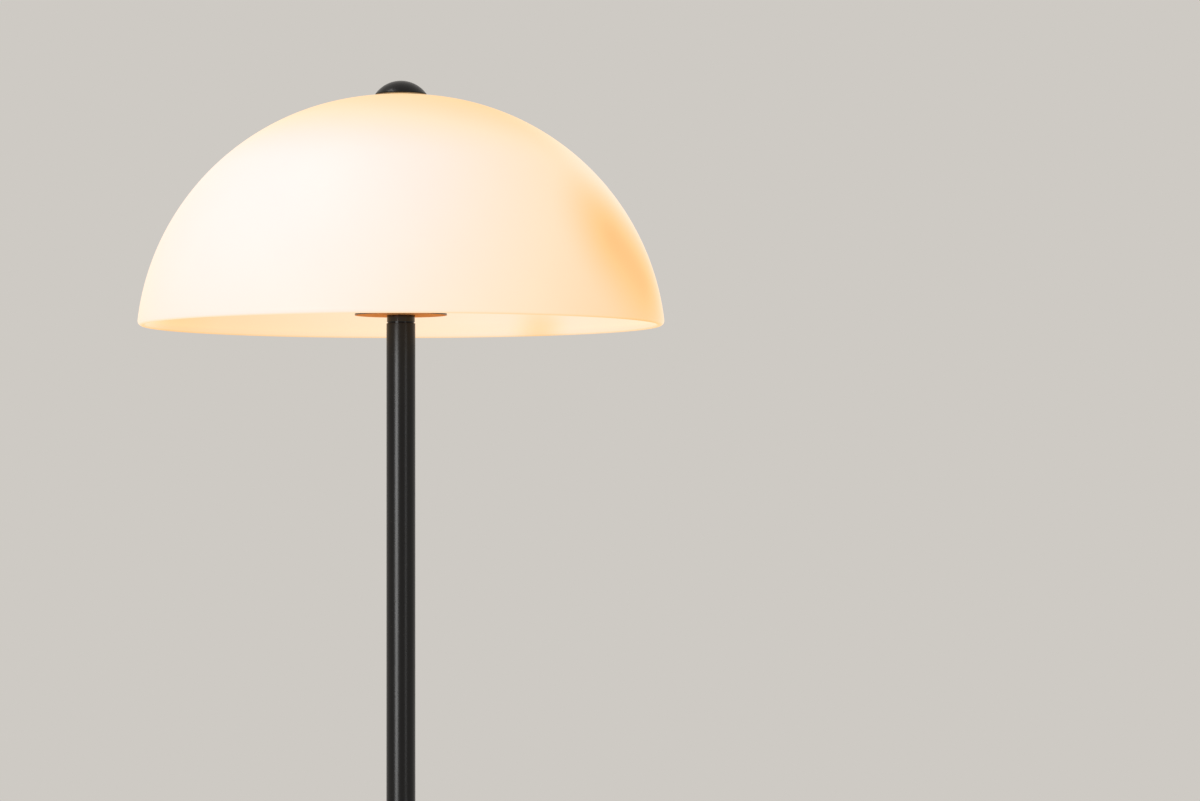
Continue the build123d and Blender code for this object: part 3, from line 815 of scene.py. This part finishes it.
def finial_outline():
    """The ball cap above, and below it the recess for the washer and the insert."""
    centre = (0, finial_top - FINIAL_BALL_RADIUS)
    foot = finial_bottom + FINIAL_FOOT_HEIGHT
    edge = math.degrees(math.asin((foot - centre[1]) / FINIAL_BALL_RADIUS))
    cap = arc(centre, FINIAL_BALL_RADIUS, 90, edge, steps=40)
    cap = [(min(r, finial_radius), z) for r, z in cap]
    below = [(finial_radius - inset, finial_bottom + rise) for inset, rise in FINIAL_FOOT_ROUND]
    below += [
        (WASHER_RECESS_RADIUS, finial_bottom),
        (WASHER_RECESS_RADIUS, finial_bottom + WASHER_RECESS_DEPTH),
        (INSERT_RADIUS, finial_bottom + WASHER_RECESS_DEPTH),
        (INSERT_RADIUS, finial_bottom + INSERT_DEPTH),
        (0, finial_bottom + INSERT_DEPTH),
    ]
    return cap + below


finial = turned("finial_cap", finial_outline(), segments=128)
dress(finial, "black_metal", "finial", "finial")


# %% Stem tubes
STEM_WALL = 1.5 * MM
STEM_EDGE = 0.3 * MM
for name in ("lower", "middle", "upper"):
    node = f"stem_{name}_tube"
    radius, bottom, top = extent(node)
    bore = radius - STEM_WALL
    outline = [(radius, bottom), (radius, top), (bore, top), (bore, bottom)]
    tube = turned(f"stem_{name}_skin", eased(outline, STEM_EDGE), segments=96)
    dress(tube, "black_metal", "root", node)


# %% Neck ring and disc
neck_radius, neck_bottom, neck_top = extent("neck_ring")
NECK_BORE = 5.05 * MM
NECK_FOOT_RADIUS = 10.1 * MM
NECK_FOOT_HEIGHT = 0.8 * MM
NECK_SWELL = 0.4 * MM
EASED_EDGE = 0.35 * MM
DISC_BORE = 5.3 * MM
FACES_DOWN = -0.9


def neck_outline():
    """The foot, the rounded band and the seat of the disc."""
    band_bottom = neck_bottom + NECK_FOOT_HEIGHT
    return [
        (NECK_BORE, neck_bottom),
        (NECK_FOOT_RADIUS, neck_bottom),
        (NECK_FOOT_RADIUS, band_bottom),
        (neck_radius + NECK_SWELL, band_bottom),
        (neck_radius + NECK_SWELL, neck_top),
        (NECK_BORE, neck_top),
    ]


neck = turned("neck_band", eased(neck_outline(), EASED_EDGE), segments=128)
dress(neck, "black_polished", "root", "neck_ring")
disc_radius, disc_bottom, disc_top = extent("lamp_disc")
disc_outline = [
    (disc_radius, disc_bottom),
    (disc_radius, disc_top),
    (DISC_BORE, disc_top),
    (DISC_BORE, disc_bottom),
]
disc = turned("under_disc", eased(disc_outline, EASED_EDGE), segments=160)
dress(disc, "black_polished", "root", "lamp_disc")
# The downward faces of the disc get the copper-orange painted reflection of the glowing glass.
disc.data.materials.append(finishes["glow_reflection_underside"])
glow_reflection_faces = [face for face in disc.data.polygons if face.normal.z < FACES_DOWN]
for face in glow_reflection_faces:
    face.material_index = 1
print("copper faces under the disc", len(glow_reflection_faces))


# %% [markdown]
# ## The base
# A spun steel cover, lacquered like the stem, hides an iron casting. Spinning leaves a soft
# shoulder and a top that rises a little to the stem, so light slides over it instead of lying flat.
# A cylinder with a bevel would be quicker, but flat on top. So this outline is drawn as well, and
# its inside follows it at the thickness of the sheet.

# %% The spun cover
base_radius, cover_bottom, cover_top = extent("base_cover")
COVER_WALL = 1.2 * MM
SHOULDER_ROUND = 6.0 * MM
SHOULDER_TURN = 88
SHOULDER_STEPS = 14
CROWN_RISE = 3.0 * MM
FLAT_RADIUS = 25.0 * MM
ROD_HOLE = 5.3 * MM


def cover_line(inset):
    """One side of the cover, from the foot of its skirt to the hole in the middle."""
    radius = base_radius - inset
    shoulder = cover_top - CROWN_RISE - inset
    bend = SHOULDER_ROUND - inset
    points = [(radius, cover_bottom)]
    points += arc((radius - bend, shoulder - bend), bend, 0, SHOULDER_TURN, SHOULDER_STEPS)
    points += [(FLAT_RADIUS, cover_top - inset), (ROD_HOLE, cover_top - inset)]
    return points


cover_outline = cover_line(0) + cover_line(COVER_WALL)[::-1]
cover = turned("base_skin", cover_outline, segments=200)
dress(cover, "black_metal", "root", "base_cover")


# %% [markdown]
# ## Bulbs and lampholders
# The bulbs tilt outwards on two arms. The second could be a turned copy of the first. But each is
# turned upright from the same outlines and then set on its own joint's axis, so it can unscrew in
# place. The screw caps carry the coarse rounded thread that such caps have. It is modelled, because
# it shows when a bulb is drawn out.


# %% Places on a bulb's axis
def along_axis(number):
    """The matrix that stands an upright piece on a bulb's axis, measured from the lamp's middle."""
    point, axis = bulb_line(number)
    meeting = point - axis * (math.hypot(point.x, point.y) / math.hypot(axis.x, axis.y))
    turn = axis.to_track_quat("Z", "Y").to_matrix().to_4x4()
    return Matrix.Translation(meeting) @ turn


# %% The lampholder's front shell
CAP_LENGTH = 18.0 * MM
HOLDER_LENGTH = 50.0 * MM
HOLDER_RADIUS = 19.0 * MM
HOLDER_MOUTH = 14.6 * MM
HOLDER_EDGE = 0.5 * MM
CORE_TOP = 24.0 * MM
CORE_RADIUS = 16.4 * MM
CORE_GAP = 0.2 * MM
GRIP_RINGS = 5
GRIP_PITCH = 2.6 * MM
GRIP_START = 16.0 * MM
GRIP_DEPTH = 0.6 * MM
GRIP_LEVELS = ((0.0, 0.0), (GRIP_DEPTH, 0.5 * MM), (GRIP_DEPTH, 1.1 * MM), (0.0, 1.6 * MM))


def skirt_outline():
    """The holder's front shell, with shallow grip rings round its mouth."""
    points = [(CORE_RADIUS + CORE_GAP, CAP_LENGTH), (HOLDER_RADIUS, CAP_LENGTH)]
    for i in range(GRIP_RINGS):
        level = HOLDER_LENGTH - GRIP_START + i * GRIP_PITCH
        points += [(HOLDER_RADIUS - depth, level + rise) for depth, rise in GRIP_LEVELS]
    points += [
        (HOLDER_RADIUS, HOLDER_LENGTH),
        (HOLDER_MOUTH, HOLDER_LENGTH),
        (HOLDER_MOUTH, CORE_TOP),
        (CORE_RADIUS + CORE_GAP, CORE_TOP),
    ]
    return eased(points, HOLDER_EDGE, steps=3)


# %% The bulb's screw cap
SCREW_CAP_RADIUS = 13.1 * MM
SCREW_CAP_WALL = 0.5 * MM
SCREW_CAP_BOTTOM = 32.9 * MM
SCREW_CAP_LENGTH = 21.0 * MM
SCREW_PITCH = 3.62 * MM
THREAD_DEPTH = 0.9 * MM
THREAD_STEPS = 60


def screw_cap_outline():
    """The screw cap, its thread drawn as rounded rings that fade out at both ends."""
    outer = []
    for i in range(THREAD_STEPS + 1):
        level = SCREW_CAP_LENGTH * i / THREAD_STEPS
        fade = min(1.0, min(level, SCREW_CAP_LENGTH - level) / SCREW_PITCH)
        wave = 0.5 - 0.5 * math.cos(2 * math.pi * level / SCREW_PITCH)
        radius = SCREW_CAP_RADIUS - THREAD_DEPTH * (1 - wave) * fade
        outer.append((radius, SCREW_CAP_BOTTOM + level))
    inner = [(r - SCREW_CAP_WALL, z) for r, z in reversed(outer)]
    return outer + inner


# %% The bulb's collar and globe
COLLAR_LENGTH = 15.0 * MM
COLLAR_MOUTH = 19.0 * MM
COLLAR_WALL = 1.2 * MM
FLARE_STEPS = 12
FLARE_CURVE = 1.3
GLOBE_RADIUS = 22.5 * MM
GLOBE_GAP = 0.05 * MM
GLOBE_SINK = 1.0 * MM
GLOBE_STEPS = 40


def collar_outline(bottom):
    """The collar that flares from the screw cap to the globe."""
    top = bottom + COLLAR_LENGTH
    flare = []
    for i in range(FLARE_STEPS + 1):
        share = i / FLARE_STEPS
        swell = math.sin(share * math.pi / 2) ** FLARE_CURVE
        radius = SCREW_CAP_RADIUS + (COLLAR_MOUTH - SCREW_CAP_RADIUS) * swell
        flare.append((radius, bottom + COLLAR_LENGTH * share))
    bore = COLLAR_MOUTH - COLLAR_WALL
    back = [(bore, top), (bore, top - GLOBE_SINK), (SCREW_CAP_RADIUS - COLLAR_WALL, bottom)]
    return flare + back


def globe_outline(base):
    """The frosted globe, from its cut foot to its tip."""
    foot_radius = COLLAR_MOUTH - COLLAR_WALL - GLOBE_GAP
    centre = base + GLOBE_SINK + math.sqrt(GLOBE_RADIUS**2 - foot_radius**2)
    foot = math.degrees(math.asin((base - centre) / GLOBE_RADIUS))
    return [(0, base)] + arc((0, centre), GLOBE_RADIUS, foot, 90, GLOBE_STEPS)


# %% Set both bulbs and holders on their axes
HOLDER_START = 41.0 * MM
SEGMENTS = 96
collar_bottom = SCREW_CAP_BOTTOM + SCREW_CAP_LENGTH
globe_bottom = collar_bottom + COLLAR_LENGTH - GLOBE_SINK
for number in bulb_numbers:
    place = along_axis(number) @ Matrix.Translation((0, 0, HOLDER_START))
    bulb, holder = f"bulb_{number}", f"holder_{number}"
    pieces = (
        (f"{holder}_shell", skirt_outline(), "black_bakelite", "root", f"{holder}_skirt"),
        (f"{bulb}_thread", screw_cap_outline(), "nickel_cap", bulb, f"{bulb}_screw_cap"),
        (f"{bulb}_flare", collar_outline(collar_bottom), "white_plastic", bulb, f"{bulb}_collar"),
        (f"{bulb}_glass", globe_outline(globe_bottom), "frosted_globe", bulb, f"{bulb}_globe"),
    )
    for name, outline, finish, body, node in pieces:
        dress(turned(name, outline, SEGMENTS, place), finish, body, node)


# %% [markdown]
# ## The pieces that keep their solids
# Nuts, arms, washers, the casting and the inner fittings are right as they come. They could be
# drawn again as smooth meshes, but the glass, the stem or the base hides most of them, so nothing
# would be gained. Each only needs its finish, and the record already says which one.

# %% Finish every solid that is still shown
slots = {part["node"]: part["material_slot"] for part in frame["record"]["subparts"]}
for node, piece in frame["nodes"].items():
    material = finishes[slots[node]]
    piece.data.materials.clear()
    piece.data.materials.append(material)
print("solids dressed", len(frame["nodes"]))


# %% [markdown]
# ## Studio
# A pale floor and a pale room, so the black stem reads as a clean line and the glass still glows
# against it. They could be lit until they look pale, but that light would flood the glass. So the
# camera, mirrors and clear glass see the floor and the room at one fixed pale level, and the lamps
# stay low. The floor adds a share of real light, which keeps the shadow that the lamp throws on
# it. Two tall soft lights stand to the left and right of the camera. Their reflections are the two
# upright streaks on the stem, the left one stronger. A small light overhead gives the finial its
# glint.

# %% Floor and room
PALE = to_linear(206, 202, 196)
ROOM_LIGHT = 0.36
FLOOR_RADIUS = 11.5
FLOOR_SHADE = 0.35


def seen_directly(w):
    """1 where the camera, a mirror or clear glass looks at a surface, 0 where light bounces off."""
    paths = w.add("ShaderNodeLightPath")
    glossy, clear = paths.outputs["Is Glossy Ray"], paths.outputs["Is Transmission Ray"]
    return w.math("MAXIMUM", paths.outputs["Is Camera Ray"], w.math("MAXIMUM", glossy, clear))


def make_floor():
    """A wide round floor, pale and matte."""
    mesh = bpy.data.meshes.new("floor")
    shape = bmesh.new()
    bmesh.ops.create_circle(shape, cap_ends=True, segments=96, radius=FLOOR_RADIUS)
    shape.to_mesh(mesh)
    shape.free()
    floor = bpy.data.objects.new("floor", mesh)
    bpy.context.collection.objects.link(floor)
    material = bpy.data.materials.new("floor_paint")
    material.use_nodes = True
    w = Wiring(material.node_tree)
    shader = material.node_tree.nodes["Principled BSDF"]
    shader.inputs["Base Color"].default_value = PALE
    shader.inputs["Roughness"].default_value = 0.8
    shader.inputs["Specular IOR Level"].default_value = 0.0
    seen = w.add("ShaderNodeEmission")
    seen.inputs["Color"].default_value = PALE
    seen.inputs["Strength"].default_value = 1.0 - FLOOR_SHADE * ROOM_LIGHT
    shaded = w.add("ShaderNodeBsdfDiffuse")
    shaded.inputs["Color"].default_value = (*(FLOOR_SHADE * part for part in PALE[:3]), 1.0)
    both = w.add("ShaderNodeAddShader")
    w.join(seen.outputs[0], both.inputs[0])
    w.join(shaded.outputs[0], both.inputs[1])
    mix = w.add("ShaderNodeMixShader")
    w.join(seen_directly(w), mix.inputs[0])
    w.join(shader.outputs[0], mix.inputs[1])
    w.join(both.outputs[0], mix.inputs[2])
    w.join(mix.outputs[0], material.node_tree.nodes["Material Output"].inputs["Surface"])
    floor.data.materials.append(material)
    print("floor", 2 * FLOOR_RADIUS, "m across")


def make_room():
    """The world: soft light for the object, and a pale backdrop for the camera and for mirrors."""
    world = bpy.data.worlds.new("room")
    bpy.context.scene.world = world
    world.use_nodes = True
    tree = world.node_tree
    w = Wiring(tree)
    tree.nodes.clear()
    light = w.add("ShaderNodeBackground")
    light.inputs["Color"].default_value = (1, 1, 1, 1)
    light.inputs["Strength"].default_value = ROOM_LIGHT
    seen = w.add("ShaderNodeBackground")
    seen.inputs["Color"].default_value = PALE
    mix = w.add("ShaderNodeMixShader")
    leave = w.add("ShaderNodeOutputWorld")
    w.join(seen_directly(w), mix.inputs[0])
    w.join(light.outputs[0], mix.inputs[1])
    w.join(seen.outputs[0], mix.inputs[2])
    w.join(mix.outputs[0], leave.inputs["Surface"])
    print("room light", ROOM_LIGHT)


make_floor()
make_room()


# %% Soft lights
AIM_LEVEL = 1.1


def soft_light(name, turn, distance, level, size, power):
    """A tall soft light, facing the lamp. The turn is in degrees from the camera's side."""
    data = bpy.data.lights.new(name, "AREA")
    data.shape = "RECTANGLE"
    data.size = size[0]
    data.size_y = size[1]
    data.energy = power
    light = bpy.data.objects.new(name, data)
    bpy.context.collection.objects.link(light)
    angle = math.radians(turn)
    light.location = (distance * math.sin(angle), -distance * math.cos(angle), level)
    aim = Vector((0, 0, AIM_LEVEL)) - light.location
    light.rotation_mode = "QUATERNION"
    light.rotation_quaternion = aim.to_track_quat("-Z", "Y")
    print(name, power, "W")


soft_light("key_light", turn=-35, distance=2.6, level=1.2, size=(1.0, 1.1), power=34)
soft_light("fill_light", turn=40, distance=2.6, level=1.2, size=(0.4, 1.1), power=3.7)
soft_light("top_light", turn=-75, distance=0.86, level=3.1, size=(0.9, 0.5), power=6)

# %% [markdown]
# ## Camera
# The photograph looks slightly up at the rim: the glowing inside of the far wall shows below the
# near rim. That fixes the camera's height, 147 mm below the rim and about 3 m away. The lamp stands
# left of the middle of the picture. A camera turned to the side would show the round shade leaning,
# so the camera stays on the lamp's axis and the sensor is shifted instead.

# %% The camera
CAMERA_DISTANCE = 3.04
CAMERA_DROP = 0.147
CAMERA_SHIFT = 0.16592
CAMERA_PITCH = 1.705
SENSOR_WIDTH = 36
LENS = 120
camera_data = bpy.data.cameras.new("camera")
camera_data.sensor_width = SENSOR_WIDTH
camera_data.lens = LENS
camera_data.shift_x = CAMERA_SHIFT
camera = bpy.data.objects.new("camera", camera_data)
bpy.context.collection.objects.link(camera)
camera.location = (0, -CAMERA_DISTANCE, rim_bottom - CAMERA_DROP)
camera.rotation_euler = (math.radians(90 + CAMERA_PITCH), 0, 0)
bpy.context.scene.camera = camera
bpy.context.scene.view_settings.view_transform = "Standard"
print("camera", [round(part, 3) for part in camera.location])
